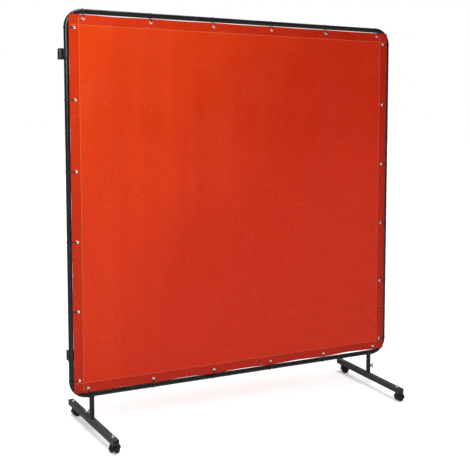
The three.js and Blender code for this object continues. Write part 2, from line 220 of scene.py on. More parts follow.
def rounded_block(half, radius, around=16, up=9):
    """A block with rounded edges: a sphere's points, n, pushed apart to sign(n) (half - r) + n r."""
    longitude = (np.arange(around) + 0.5) * TURN / around
    latitude = np.concatenate([[0], (np.arange(up - 1) + 0.5) * math.pi / (up - 1), [math.pi]])
    lat, lon = np.meshgrid(latitude, longitude, indexing="ij")
    normal = np.stack([np.sin(lat) * np.cos(lon), np.sin(lat) * np.sin(lon), np.cos(lat)], axis=2)
    push = np.sign(np.round(normal, 9))
    return grid(push * (np.asarray(half) - radius) + normal * radius, close_columns=True)


def at_height(flat, height):
    """Flat points (x, y) at a height."""
    return np.column_stack([flat, np.full(len(flat), height)])


def moved(part, offset):
    """The part shifted by an offset."""
    return part[0] + np.asarray(offset), part[1]


def sweep(centres, normals, binormals, section):
    """Carries a section of (n, b) points round a closed path: centre + n normal + b binormal."""
    rows = centres[:, None] + section[:, :1] * normals[:, None] + section[:, 1:] * binormals[:, None]
    return grid(rows, close_rows=True, close_columns=True)


def prism(outline, levels):
    """An outline (x, y) carried up through levels of (z, inset), each moved in along the outline's own
    normals by its inset, so that the ends are rounded over. The two end faces are flat."""
    ahead = np.roll(outline, -1, axis=0) - outline
    ahead /= np.linalg.norm(ahead, axis=1, keepdims=True)
    tangent = ahead + np.roll(ahead, 1, axis=0)
    tangent /= np.maximum(np.linalg.norm(tangent, axis=1, keepdims=True), 1e-9)
    inward = np.stack([-tangent[:, 1], tangent[:, 0]], axis=1)
    count = len(outline)
    rows = [at_height(outline + inward * inset, z) for z, inset in levels]
    points, faces = grid(np.stack(rows), close_columns=True)
    faces += [list(range(count)), list(range(len(points) - count, len(points)))]
    return points, faces


def round_over(length, radius, steps=4):
    """Levels for prism from 0 to length with both ends rounded by a quarter circle."""
    turn = np.linspace(0, math.pi / 2, steps + 1)
    low = [(radius * (1 - math.sin(a)), radius * (1 - math.cos(a))) for a in turn[::-1]]
    high = [(length - z, inset) for z, inset in low[::-1]]
    return low + high


def rounded_rectangle(half_x, half_y, radius, steps=4):
    """Outline of a rectangle with round corners, anticlockwise."""
    arcs = []
    for k, (sx, sy) in enumerate([(1, 1), (-1, 1), (-1, -1), (1, -1)]):
        centre = (sx * (half_x - radius), sy * (half_y - radius))
        arcs.append(arc(centre, radius, k * math.pi / 2, (k + 1) * math.pi / 2, steps + 1))
    return np.concatenate(arcs)


def corners_of(node):
    """Every corner of a node's mesh, as an array."""
    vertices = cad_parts[node].data.vertices
    flat = np.empty(3 * len(vertices))
    vertices.foreach_get("co", flat)
    return flat.reshape(-1, 3)


def middle(node):
    """The middle of a node's box."""
    return np.mean(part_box(node), axis=0)


# ---- shader helpers ----


def feed(tree, socket, value):
    """Joins an input socket to another socket, or sets it to a number."""
    if isinstance(value, bpy.types.NodeSocket):
        tree.links.new(value, socket)
    else:
        socket.default_value = value


def node(tree, kind, values=None, **settings):
    """A shader node with its settings and its inputs."""
    made = tree.nodes.new(kind)
    for key, value in settings.items():
        setattr(made, key, value)
    for key, value in (values or {}).items():
        feed(tree, made.inputs[key], value)
    return made


def math_node(tree, operation, *values, clamp=False):
    """The result of a Math node."""
    settings = {"operation": operation, "use_clamp": clamp}
    return node(tree, "ShaderNodeMath", dict(enumerate(values)), **settings).outputs[0]


def mixed(tree, factor, first, second):
    """Two colours mixed."""
    return node(tree, "ShaderNodeMix", {0: factor, 6: first, 7: second}, data_type="RGBA").outputs[2]


def ramp(tree, value, low, high, out_low=0.0, out_high=1.0):
    """A value taken from one range to another, smoothly and clamped."""
    values = {"Value": value, "From Min": low, "From Max": high, "To Min": out_low, "To Max": out_high}
    return node(tree, "ShaderNodeMapRange", values, interpolation_type="SMOOTHSTEP").outputs["Result"]


def noise(tree, where, scale, detail, roughness=0.5):
    """The value of a noise texture."""
    values = {"Vector": where, "Scale": scale, "Detail": detail, "Roughness": roughness}
    return node(tree, "ShaderNodeTexNoise", values).outputs["Fac"]


def stretched(tree, where, factors):
    """Coordinates multiplied along each axis."""
    return node(tree, "ShaderNodeVectorMath", {0: where, 1: factors}, operation="MULTIPLY").outputs[0]


def effect(name, inputs, *outputs):
    """An empty shader group: (group, its input values in order, its outputs' node). An input whose
    default isn't one number is a vector."""
    group = bpy.data.node_groups.new(name, "ShaderNodeTree")
    for label, default in inputs.items():
        kind = "NodeSocketFloat" if isinstance(default, float) else "NodeSocketVector"
        socket = group.interface.new_socket(label, in_out="INPUT", socket_type=kind)
        if default is not None:
            socket.default_value = default
    for label in outputs:
        group.interface.new_socket(label, in_out="OUTPUT", socket_type="NodeSocketFloat")
    taken = group.nodes.new("NodeGroupInput").outputs
    return group, list(taken)[: len(inputs)], group.nodes.new("NodeGroupOutput")


def use(tree, group, **values):
    """The outputs of a shared effect placed in a material with its own values."""
    values = {key.replace("_", " "): value for key, value in values.items()}
    return node(tree, "ShaderNodeGroup", values, node_tree=group).outputs


def coating_effect():
    """Powder coat's orange peel: a fine noise for height, and a broad one that changes the gloss."""
    inputs = {"Vector": None, "Peel Scale": 900.0, "Patch Scale": 14.0}
    group, (where, fine, broad), given = effect("coating_peel", inputs, "Height", "Patches")
    feed(group, given.inputs["Height"], noise(group, where, fine, 2.0))
    feed(group, given.inputs["Patches"], noise(group, where, broad, 4.0))
    return group


def scuff_effect():
    """Fine rubbed streaks: a noise stretched along one axis, kept only where it peaks, broken by patches."""
    inputs = {"Vector": None, "Stretch": (40.0, 40.0, 400.0), "Threshold": 0.64}
    group, (where, stretch, threshold), given = effect("rub_marks", inputs, "Mask")
    streak = noise(group, stretched(group, where, stretch), 1.0, 3.0)
    kept = math_node(group, "SUBTRACT", streak, threshold)
    kept = math_node(group, "MULTIPLY", kept, 14.0, clamp=True)
    broken = ramp(group, noise(group, where, 9.0, 2.0), 0.48, 0.62)
    feed(group, given.inputs["Mask"], math_node(group, "MULTIPLY", kept, broken))
    return group


def dust_effect():
    """Dust on what faces up: the surface's own normal, upwards, times a cloudy noise."""
    inputs = {"Vector": None, "Normal": None, "Scale": 60.0}
    group, (where, normal, scale), given = effect("settled_dust", inputs, "Mask")
    up = ramp(group, node(group, "ShaderNodeSeparateXYZ", {0: normal}).outputs[2], 0.35, 1.0)
    speck = ramp(group, noise(group, where, scale, 6.0), 0.42, 0.68)
    feed(group, given.inputs["Mask"], math_node(group, "MULTIPLY", up, speck))
    return group


PEEL = coating_effect()
RUBS = scuff_effect()
DUST = dust_effect()


def new_material(name):
    """A material with its tree emptied but for an output and one Principled BSDF, and the outputs of
    its texture coordinates."""
    material = bpy.data.materials.new(name)
    material.use_nodes = True
    tree = material.node_tree
    tree.nodes.clear()
    surface = node(tree, "ShaderNodeBsdfPrincipled")
    node(tree, "ShaderNodeOutputMaterial", {"Surface": surface.outputs[0]})
    return material, tree, surface, node(tree, "ShaderNodeTexCoord").outputs


def dress(tree, surface, values, height, strength, distance):
    """Gives a surface its values, and a bump of its own height."""
    for key, value in values.items():
        feed(tree, surface.inputs[key], value)
    bump = {"Height": height, "Strength": strength, "Distance": distance}
    feed(tree, surface.inputs["Normal"], node(tree, "ShaderNodeBump", bump).outputs["Normal"])


RUBBED_COLOUR = (0.11, 0.11, 0.115, 1)
DUST_COLOUR = (0.42, 0.4, 0.37, 1)
PALE_DUST_COLOUR = (0.3, 0.29, 0.27, 1)
BLOOM_COLOUR = (0.5, 0.49, 0.45, 1)


def powder_coat(name, colour, gloss, stretch, worn):
    """Semi-gloss powder coat: orange peel, gloss that drifts, rub marks and a little dust on top."""
    material, tree, surface, at = new_material(name)
    where = at["Object"]
    peel = use(tree, PEEL, Vector=where)
    rubs = use(tree, RUBS, Vector=where, Stretch=stretch, Threshold=0.66)[0]
    dust = use(tree, DUST, Vector=where, Normal=at["Normal"])[0]
    rubbed = mixed(tree, math_node(tree, "MULTIPLY", rubs, worn), colour, RUBBED_COLOUR)
    dusty = mixed(tree, math_node(tree, "MULTIPLY", dust, 0.1), rubbed, DUST_COLOUR)
    drift = ramp(tree, peel["Patches"], 0.3, 0.7, gloss - 0.05, gloss + 0.08)
    rough = math_node(tree, "ADD", drift, math_node(tree, "MULTIPLY", dust, 0.2), clamp=True)
    values = {"Base Color": dusty, "Roughness": rough, "Specular IOR Level": 0.62}
    dress(tree, surface, values, peel["Height"], 0.12, 0.0004)
    return material


def plated(name, colour, gloss):
    """Plated steel: mottled crystals in the plating and a slight yellow-grey bloom."""
    material, tree, surface, at = new_material(name)
    where = at["Object"]
    crystals = node(tree, "ShaderNodeTexVoronoi", {"Vector": where, "Scale": 420.0}).outputs["Distance"]
    bloom = noise(tree, where, 160.0, 5.0)
    tint = mixed(tree, ramp(tree, bloom, 0.4, 0.7), colour, BLOOM_COLOUR)
    rough = ramp(tree, crystals, 0.0, 0.9, gloss - 0.08, gloss + 0.14)
    dress(tree, surface, {"Base Color": tint, "Roughness": rough, "Metallic": 1.0}, bloom, 0.08, 0.0003)
    return material


def moulded(name, colour, gloss, dusty):
    """Moulded plastic: spark-eroded texture, gloss that drifts, and dust on its upper faces."""
    material, tree, surface, at = new_material(name)
    where = at["Object"]
    peel = use(tree, PEEL, Vector=where, Peel_Scale=2600.0, Patch_Scale=40.0)
    dust = use(tree, DUST, Vector=where, Normal=at["Normal"], Scale=140.0)[0]
    tint = mixed(tree, math_node(tree, "MULTIPLY", dust, dusty), colour, PALE_DUST_COLOUR)
    rough = ramp(tree, peel["Patches"], 0.3, 0.7, gloss - 0.06, gloss + 0.08)
    dress(tree, surface, {"Base Color": tint, "Roughness": rough}, peel["Height"], 0.18, 0.0003)
    return material


def vinyl(name, colour, deep_and_shaded_colour, clear, gloss, ribbed=False):
    """Tinted translucent film: colour that deepens in soft clouds and upright bands, and deepens to the right
    and down as painted shade, as if its light fell away from the upper left; with a skin of fine drawn lines."""
    material, tree, surface, at = new_material(name)
    where = at["Object"]
    split = node(tree, "ShaderNodeSeparateXYZ", {0: where}).outputs
    clouds = noise(tree, where, 1.1, 2.0)
    bands = noise(tree, stretched(tree, where, (11.0, 1.0, 0.5)), 1.0, 3.0)
    # Painted shade: the colour deepens towards the right and the bottom of the film, standing in for light
    # that falls away from the upper left.
    across = math_node(tree, "MULTIPLY_ADD", split[2], -0.75, split[0])
    across = math_node(tree, "MULTIPLY_ADD", bands, 0.7, across)
    # Random cloudy tone and upright bands, plus the painted shade above, together pull the tint towards the
    # deep colour.
    painted_shade_and_tone = math_node(tree, "MULTIPLY_ADD", clouds, 1.0, across)
    tint = mixed(tree, ramp(tree, painted_shade_and_tone, -1.6, 0.1), colour, deep_and_shaded_colour)
    height = noise(tree, stretched(tree, where, (26.0, 1.0, 3.0)), 1.0, 4.0)
    rough = ramp(tree, noise(tree, where, 5.0, 5.0, 0.6), 0.32, 0.7, gloss - 0.05, gloss + 0.1)
    if ribbed:
        ribs = node(tree, "ShaderNodeTexWave", {"Vector": where, "Scale": 160.0}, bands_direction="DIAGONAL")
        height = math_node(tree, "ADD", height, ribs.outputs["Fac"])
    values = {"Base Color": tint, "Roughness": rough, "Transmission Weight": clear}
    values.update({"Specular IOR Level": 0.15, "IOR": 1.5})
    dress(tree, surface, values, height, 0.12, 0.0006)
    return material


FRAME_PAINT = powder_coat("frame_powder_coat", (0.004, 0.004, 0.0045, 1), 0.27, (60.0, 60.0, 6.0), 0.35)
FOOT_PAINT = powder_coat("foot_powder_coat", (0.025, 0.0255, 0.028, 1), 0.42, (220.0, 14.0, 220.0), 0.5)
ZINC = plated("zinc_plate", (0.82, 0.83, 0.84, 1), 0.3)
NICKEL = plated("eyelet_nickel", (0.82, 0.72, 0.62, 1), 0.36)
NYLON = moulded("tie_nylon", (0.01, 0.01, 0.011, 1), 0.42, 0.1)
CASTOR_PLASTIC = moulded("castor_shell_plastic", (0.011, 0.011, 0.012, 1), 0.38, 0.25)
WHEEL_PLASTIC = moulded("castor_wheel_plastic", (0.018, 0.018, 0.02, 1), 0.5, 0.15)
FILM = vinyl("curtain_film_vinyl", (0.85, 0.068, 0.003, 1), (0.63, 0.026, 0.003, 1), 0.55, 0.22)
# The hem's vinyl is the film's vinyl painted lighter and more orange, to make up for the backlight that the
# doubled hem shuts out: painted light.
HEM_FILM_PAINTED_LIGHTER = vinyl("hem_film_vinyl_painted_lighter", (0.98, 0.2, 0.05, 1), (0.94, 0.13, 0.04, 1), 0.6, 0.6)
WELD_FILM = vinyl("hem_weld_vinyl", (0.9, 0.125, 0.03, 1), (0.78, 0.08, 0.03, 1), 0.3, 0.3, ribbed=True)

# ---- ring, legs and their welds ----


def ring_path(bend_steps=22, run_steps=14):
    """Stations round the ring's centre line: straight runs between quarter-circle bends, with the
    outward normal at each. Anticlockwise seen from the curtain's side."""
    reach = TUBE_LINE - BEND_R
    centres, normals = [], []
    for corner in range(4):
        start = corner * math.pi / 2
        hub = reach * np.sign([math.cos(start + 0.7), math.sin(start + 0.7)])
        angle = np.linspace(start, start + math.pi / 2, bend_steps + 1)
        out = np.stack([np.cos(angle), np.sin(angle)], axis=1)
        bend = hub + BEND_R * out
        ahead = np.array([-out[-1][1], out[-1][0]])
        run = bend[-1] + np.linspace(0, 2 * reach, run_steps + 1)[1:-1, None] * ahead
        centres += [bend, run]
        normals += [out, np.repeat(out[-1:], len(run), axis=0)]
    plane = np.stack([X_AXIS, Z_AXIS])
    return np.concatenate(centres) @ plane + [0, 0, RING_MID_Z], np.concatenate(normals) @ plane


def build_ring():
    """The bent ring: a circle carried round the ring's path."""
    centres, normals = ring_path()
    forward = np.tile(FORWARD, (len(centres), 1))
    part = sweep(centres, normals, forward, circle(40) * TUBE_R)
    piece("ring_tube", part, FRAME_PAINT, "panel", "frame_paint", ["frame_tube"])


def saddle_height(y):
    """Height of the ring's underside at a distance y from its centre line."""
    return RING_BOTTOM + TUBE_R - np.sqrt(np.maximum(TUBE_R**2 - y**2, 0))


def build_leg(side):
    """A leg: outer and inner wall from the foot up to the saddle under the ring, as one closed wall."""
    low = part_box(f"{side}_leg")[0]
    x = middle(f"{side}_leg")[0]
    angle = turns(64)
    bore = TUBE_R - LEG_WALL
    rows = []
    for radius, drop in ((bore, 0.6), (TUBE_R - 0.4 * MM, 0.0), (TUBE_R, 0.4)):
        rows.append((radius, np.full(64, low.z + drop * MM)))
    for share in np.linspace(0.1, 1, 8):
        rows.append((TUBE_R, low.z + share * (saddle_height(TUBE_R * np.sin(angle)) - low.z)))
    rows.append((bore, saddle_height(bore * np.sin(angle))))
    points = [np.column_stack([x + r * np.cos(angle), r * np.sin(angle), z]) for r, z in rows]
    part = grid(np.stack(points), close_rows=True, close_columns=True)
    piece(f"{side}_leg_tube", part, FRAME_PAINT, "panel", "frame_paint", [f"{side}_leg"])

    angle = turns(180)
    lumps = 1 + 0.16 * np.sin(34 * angle) + 0.06 * np.sin(11 * angle + 1)
    radius = TUBE_R + 0.7 * MM
    y = radius * np.sin(angle)
    z = saddle_height(np.clip(y, -TUBE_R, TUBE_R)) - 0.6 * MM
    centres = np.column_stack([x + radius * np.cos(angle), y, z])
    out = np.column_stack([np.cos(angle), np.sin(angle), np.zeros(180)])
    part = bead(centres, out * 2.1 * MM, Z_AXIS * 2.3 * MM, lumps, 12)
    piece(f"{side}_leg_weld", part, FRAME_PAINT, "panel", "frame_paint")


def bead(centres, out, up, lumps, corners):
    """A weld bead: a round section carried along a closed line, larger and smaller by its lumps."""
    return sweep(centres, out * lumps[:, None], up * lumps[:, None], circle(corners))


# ---- feet ----


def build_foot(side):
    """A foot: the outer and inner outlines of a square tube carried along it, joined at both ends."""
    front, rear = middle(f"{side}_front_stem"), middle(f"{side}_rear_stem")
    ahead = (front - rear) * [1, 1, 0]
    ahead /= np.linalg.norm(ahead)
    centre = (front + rear) / 2
    low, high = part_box(f"{side}_foot_tube")
    centre[2] = (low.z + high.z) / 2
    half = (high.z - low.z) / 2
    ends = [middle(f"{side}_foot_{end}_plug") for end in ENDS]
    reach = np.linalg.norm((ends[0] - ends[1])[:2]) / 2 + PLUG_FACE
    outer = rounded_rectangle(half, half, FOOT_EDGE, 6)
    inner = rounded_rectangle(half - FOOT_WALL, half - FOOT_WALL, 1.2 * MM, 6)
    bevel = 0.4 * MM
    cut = outer * (1 - bevel / half)
    rows = [(inner, -reach), (cut, -reach), (outer, bevel - reach)]
    rows += [(outer, reach - bevel), (cut, reach), (inner, reach)]
    rows = [at_height(outline, y)[:, [0, 2, 1]] for outline, y in rows]
    part = grid(np.stack(rows), close_rows=True, close_columns=True)
    part = place(part, centre, np.cross(ahead, Z_AXIS), ahead, Z_AXIS)
    body = f"{side}_foot"
    piece(f"{body}_square_tube", part, FOOT_PAINT, body, "foot_paint", [f"{body}_tube"])
    for end, sign in zip(ENDS, (1, -1)):
        build_plug(side, end, centre + ahead * sign * reach, ahead * sign, half)


def build_plug(side, end, at, out, half):
    """An end plug: a crowned flange with a shallow ring in its face, and a ribbed stub inside the tube."""
    across = np.cross(out, Z_AXIS)
    outline = rounded_rectangle(half, half, 3.2 * MM, 6)
    stub = rounded_rectangle(half - 2.4 * MM, half - 2.4 * MM, 1.5 * MM, 6)
    depth = -11.5
    levels = [(stub, 0.0, depth), (stub, 1.0, depth), (stub, 1.0, 0.2), (outline, 0.975, 0.2)]
    levels += [(outline, 1.0, 0.6), (outline, 1.0, 1.7), (outline, 0.96, 2.5), (outline, 0.86, 2.8)]
    levels += [(outline, 0.62, 2.9), (outline, 0.58, 2.3), (outline, 0.5, 2.2), (outline, 0.0, 2.3)]
    rows = [at_height(shape * share, height * MM) for shape, share, height in levels]
    part = grid(np.stack(rows), close_columns=True)
    part = place(part, at, across, Z_AXIS, out)
    name = f"{side}_foot_{end}_plug"
    piece(f"{name}_moulding", part, CASTOR_PLASTIC, f"{side}_foot", "black_plastic", [name])


# ---- nuts, bolts and castor stems ----


def hexagon(flats, start=-1.0):
    """A wobble for lathe that trims any radius beyond a hexagon's flats, above a height."""

    def trimmed(angle, radius, height):
        facing = np.mod(angle, math.pi / 3) - math.pi / 6
        return np.where(height > start, np.minimum(radius, flats / 2 / np.cos(facing)), radius)

    return trimmed


def nut_profile(flats, thickness, bore, flange=0.0):
    """Profile of a hexagonal nut whose corners are bevelled at both ends, with an optional flange below."""
    corner = flats / math.sqrt(3)
    bevel = corner - flats / 2 * 0.97
    low = [(flats / 2 * 0.97, 0), (corner, bevel / 2)]
    if flange:
        low = [(flange, 0), (flange, 0.9 * MM), (flange - 0.6 * MM, 1.4 * MM), (corner, 1.8 * MM)]
    high = [(corner, -bevel / 2), (flats / 2 * 0.95, 0), (bore + 0.7 * MM, 0), (bore, -0.6 * MM)]
    return np.array([(bore, 0), *low, *[(radius, thickness + z) for radius, z in high]])


def thread(low, high):
    """A wobble for lathe: a V-shaped screw groove between two heights, outside a thin core,
    r - depth |2 frac(z / pitch - a / turn) - 1|."""
    core = 3 * MM

    def grooved(angle, radius, height):
        share = np.abs(2 * np.mod(height / THREAD_PITCH - angle / TURN, 1.0) - 1)
        held = (radius > core) & (height > low) & (height < high)
        return radius - THREAD_DEPTH * share * held

    return grooved


def build_stem(side, end):
    """A castor's stem: threaded stud and collar, and the flanged nut on top of the foot."""
    name = f"{side}_{end}_stem"
    low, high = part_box(name)
    at = middle(name) * [1, 1, 0]
    collar_r = (high.x - low.x) / 2
    foot_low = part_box(f"{side}_foot_tube")[0].z
    top = high.z
    profile = [(0, low.z), (STUD_R - 0.8 * MM, low.z), (STUD_R, low.z + 0.8 * MM)]
    collar = [(STUD_R, 2.9), (collar_r - 0.7 * MM, 2.8), (collar_r, 2.3), (collar_r, 0.9)]
    collar += [(collar_r - 0.6 * MM, 0.3), (STUD_R, 0.3)]
    profile += [(radius, foot_low - below * MM) for radius, below in collar]
    profile += [(STUD_R, z) for z in np.linspace(foot_low, top - 1.2 * MM, 90)]
    profile += [(STUD_R - 1.2 * MM, top), (0, top)]
    part = moved(lathe(profile, 40, thread(foot_low, top + MM)), at)
    piece(f"{name}_stud", part, ZINC, f"{side}_foot", "zinc", [name], sharp=50)
    nut_low, nut_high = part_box(f"{name}_nut")
    flange_r, flange_top = 8.2 * MM, 1.5 * MM
    profile = nut_profile(NUT_FLATS, nut_high.z - nut_low.z, STUD_R, flange_r)
    part = moved(loop_lathe(profile, 72, hexagon(NUT_FLATS, flange_top)), at + [0, 0, nut_low.z])
    piece(f"{name}_flange_nut", part, ZINC, f"{side}_foot", "zinc", [f"{name}_nut"], sharp=28)


def build_clamp(side):
    """The welded nut on a leg and the wing bolt through it."""
    sign = FEET[side]
    out = X_AXIS * sign
    nut = f"{side}_clamp_nut"
    low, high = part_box(nut)
    centre = middle(nut)
    leg_x = middle(f"{side}_leg")[0]
    at = [low.x if sign > 0 else high.x, 0, centre[2]]
    profile = nut_profile(NUT_FLATS, high.x - low.x, STUD_R + 0.1 * MM)
    part = place(loop_lathe(profile, 72, hexagon(NUT_FLATS)), at, -Z_AXIS * sign, Y_AXIS, out)
    piece(f"{nut}_hex", part, ZINC, "panel", "zinc", [nut], sharp=28)

    angle = turns(96)
    lumps = 1 + 0.22 * np.sin(19 * angle) + 0.1 * np.sin(7 * angle + 2)
    radius = 7.2 * MM
    y, z = radius * np.cos(angle), radius * np.sin(angle)
    reach = np.sqrt(TUBE_R**2 - y**2)
    centres = np.column_stack([leg_x + sign * (reach + 0.3 * MM), y, centre[2] + z])
    up = np.column_stack([np.zeros(96), np.cos(angle), np.sin(angle)])
    part = bead(centres, out * 1.3 * MM, up * 1.4 * MM, lumps, 10)
    piece(f"{side}_clamp_weld", part, FRAME_PAINT, "panel", "frame_paint")
    build_wing_bolt(side, leg_x, centre[2], out)


def wing(sign, root, reach, turn_out):
    """One wing of a wing bolt: ellipses carried outwards from the hub, wide across the bolt and thin
    along its turn, drifting up the bolt's axis and closing to nothing at the tip."""
    share = np.linspace(0, 1, 22)
    radial = root + (reach - root) * share
    rise = turn_out * np.sin(share * math.pi / 2)
    tip = np.sqrt(np.maximum(1 - (share**6), 0))
    along = (3.4 + 3.2 * share) * MM * tip
    thick = (2.3 - 0.7 * share) * MM * tip
    turn = turns(24)
    points = [np.repeat((sign * radial)[:, None], 24, axis=1)]
    points += [thick[:, None] * np.sin(turn), rise[:, None] + along[:, None] * np.cos(turn)]
    points = np.stack(points, axis=2)
    return grid(np.concatenate([drawn_in(points[:1]), points]), close_columns=True)


def build_wing_bolt(side, leg_x, height, out):
    """A wing bolt: threaded shank, turned hub and two cast wings, standing as its node stands."""
    name = f"{side}_wing_bolt"
    tip = 10.7 * MM
    hub = TUBE_R + 8 * MM
    profile = [(0, tip), (STUD_R - 0.8 * MM, tip), (STUD_R, tip + 0.8 * MM)]
    profile += [(STUD_R, z) for z in np.linspace(tip + 1 * MM, hub, 60)]
    turned = in_mm((5.4, 0), (6.3, 0.8), (6, 5), (5.2, 8.6), (4.2, 9.8), (2.6, 10.2), (0, 10.3))
    profile = np.concatenate([profile, turned + [0, hub]])
    wings = [moved(wing(s, 3 * MM, 16 * MM, 6.5 * MM), (0, 0, hub + 6.5 * MM)) for s in (-1, 1)]
    part = put_together(lathe(profile, 40, thread(0, hub)), *wings)
    corners = corners_of(name)[:, 1:]
    spread = np.linalg.eigh(np.cov((corners - corners.mean(axis=0)).T))[1][:, 1]
    upright = np.array([0, *spread])
    part = place(part, [leg_x, 0, height], upright, np.cross(out, upright), out)
    piece(f"{name}_casting", part, ZINC, name, "zinc", [name], sharp=42)


# ---- castors ----


def hood_part(trail, axle_height):
    """The mudguard: a U-shaped wall carried round the axle from low behind to low in front. The wall is
    one closed outline of outer face, lips and inner face; each station turns it about the axle."""
    half, wall, radius = 22 * MM, 1.5 * MM, 22.9 * MM
    shoulder, cheek = 4 * MM, 7 * MM

    def face(inset):
        corner = (half - shoulder, radius - shoulder)
        right = arc(corner, shoulder - inset, math.pi / 2, 0, 7)
        right = np.concatenate([right, [[half - inset, radius - cheek]]])
        return np.concatenate([right[::-1] * [-1, 1], right])

    outer = face(0)
    wall_loop = np.concatenate([outer, face(wall)[::-1]])
    angle = np.linspace(math.radians(-4), math.radians(186), 42)[:, None]
    reach = wall_loop[:, 1] * (1 + 0.03 * np.cos(angle) ** 8)
    across = np.repeat(wall_loop[None, :, 0], len(angle), axis=0)
    rows = [trail + reach * np.cos(angle), across, axle_height + reach * np.sin(angle)]
    points, faces = grid(np.stack(rows, axis=2), close_columns=True)
    count, last = len(wall_loop), (len(angle) - 1) * len(wall_loop)
    for k in range(len(outer) - 1):
        strip = [k, k + 1, count - 2 - k, count - 1 - k]
        faces += [strip, [last + corner for corner in strip]]
    return points, faces


def web_part(trail, axle_height, boss_top):
    """The web between the wheels: a half disc down to a round hub, carried across with rounded edges,
    and the boss round the stem standing on it."""
    half, radius, boss_low, boss_r = 6 * MM, 22.2 * MM, 35 * MM, 9.5 * MM
    dome = arc((trail, axle_height), radius, 0, math.pi, 40)
    hub = arc((trail, axle_height - 1 * MM), 7.5 * MM, math.pi, TURN, 20)
    web = prism(np.concatenate([dome, hub]), round_over(2 * half, 0.8 * MM))
    web = place(web, [0, half, 0], X_AXIS, Z_AXIS, -Y_AXIS)
    profile = [(0, boss_low), (boss_r - 0.5 * MM, boss_low), (boss_r, boss_low + 5 * MM)]
    profile += [(boss_r, boss_top - 1 * MM), (boss_r - 0.9 * MM, boss_top), (0, boss_top)]
    return put_together(web, lathe(profile, 40))


def wheel_part(sign):
    """One wheel: a tread profile turned about the axle, its outer face dished with five ribs. Rows of
    millimetres (radius, across, share of the ribs' height) run over the face and tread; the dish's
    depth changes with angle by a rounded square wave."""
    angle = turns(120)
    rim, tread, inside, outside, rib = 16.4, 20, 6.8, 20.1, 2.9
    ribs = np.clip(0.5 + 3.2 * np.cos(5 * angle), 0, 1)
    hub = [(0, 0.2, 0), (3.8, 0.2, 0), (4.3, 0.7, 0), (4.6, 3.6, 0)]
    dish = [(5.6, 4.6, 0.8), (7.4, 4.8, 1), (rim - 2.6, 4.4, 1), (rim - 1.2, 3.9, 0.7), (rim - 0.6, 1, 0)]
    face = [(r, outside - below, ribbed) for r, below, ribbed in hub + dish]
    face += [(rim, outside - 0.3, 0), (rim + 1.4, outside - 0.1, 0)]
    rows = [(tread - 2, 0.4), (tread - 0.7, 1.6), (tread - 0.1, 3.4)]
    shoulder = [(r, outside - below, 0) for r, below in rows]
    back = [(r, inside + above, 0) for r, above in rows[::-1]] + [(rim, inside, 0), (0, inside, 0)]
    points = []
    for radius, depth, ribbed in in_mm(*face, *shoulder, (tread, (outside + inside) / 2, 0), *back):
        across = depth + ribbed * ribs * rib
        points.append(np.column_stack([radius * np.cos(angle), radius * np.sin(angle), sign * across]))
    return grid(np.stack(points), close_columns=True)


def build_castor(side, end):
    """A twin-wheel castor: hood and web on the swivelling body, both wheels and their axle on the
    rolling one."""
    name, body = f"{side}_{end}", f"{side}_{end}_castor"
    stem, hub = middle(f"{name}_stem") * [1, 1, 0], middle(f"{name}_wheels")
    trail_way = (hub - stem) * [1, 1, 0]
    trail = np.linalg.norm(trail_way)
    trail_way /= trail
    axes = (trail_way, np.cross(Z_AXIS, trail_way), Z_AXIS)
    hood = place(hood_part(trail, hub[2]), stem, *axes)
    piece(f"{name}_mudguard", hood, CASTOR_PLASTIC, body, "castor_plastic", [f"{name}_hood"])
    web = place(web_part(trail, hub[2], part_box(f"{name}_hood")[1].z), stem, *axes)
    piece(f"{name}_castor_web", web, CASTOR_PLASTIC, body, "castor_plastic")
    rolling = f"{name}_wheels"
    out = np.cross(trail_way, Z_AXIS)
    for label, sign, stands_for in (("inner", -1, []), ("outer", 1, [rolling])):
        wheel = place(wheel_part(sign), hub, trail_way, Z_AXIS, out)
        wheel_name = f"{name}_{label}_wheel"
        piece(wheel_name, wheel, WHEEL_PLASTIC, rolling, "castor_plastic", stands_for, sharp=40)
    axle = lathe(in_mm((0, -8), (3, -8), (3, 8), (0, 8)), 24)
    axle = place(axle, hub, trail_way, Z_AXIS, out)
    piece(f"{name}_axle", axle, ZINC, rolling, "zinc")


# ---- coupling clips ----


def clip_outline():
    """Plan of a double clip about the ring's tube: two C shapes back to back with a waist between,
    round lips at both mouths. The neighbour's C is at -x."""
    bore, wall, pitch, mouth = 13 * MM, 2.8 * MM, 30 * MM, math.radians(55)
    outer, lip, joined = bore + wall, wall / 2, math.radians(150)
    own_top = arc((0, 0), outer, mouth, joined, 22)
    start, end = own_top[-1], [-pitch - own_top[-1][0], own_top[-1][1]]
    across = np.linspace(0, 1, 9)[1:-1, None]
    waist = start + (np.array(end) - start) * across
    waist[:, 1:] -= 0.3 * MM * np.sin(math.pi * across)
    other_top = arc((-pitch, 0), outer, math.pi - joined, math.pi - mouth, 22)

    def lip_at(centre_x, angle):
        at = (centre_x + (bore + lip) * math.cos(angle), (bore + lip) * math.sin(angle))
        return arc(at, lip * 1.15, angle, angle + math.pi, 9)[1:-1]

    other_lip = lip_at(-pitch, math.pi - mouth)
    other_bore = arc((-pitch, 0), bore, math.pi - mouth, -math.pi + mouth, 40)
    top = np.concatenate([own_top, waist, other_top, other_lip])
    own_lip = lip_at(0, -mouth)
    own_bore = arc((0, 0), bore, -mouth, -TURN + mouth, 40)
    final_lip = (own_lip * [1, -1])[::-1]
    return np.concatenate([top, other_bore, top[::-1] * [1, -1], own_lip, own_bore, final_lip])


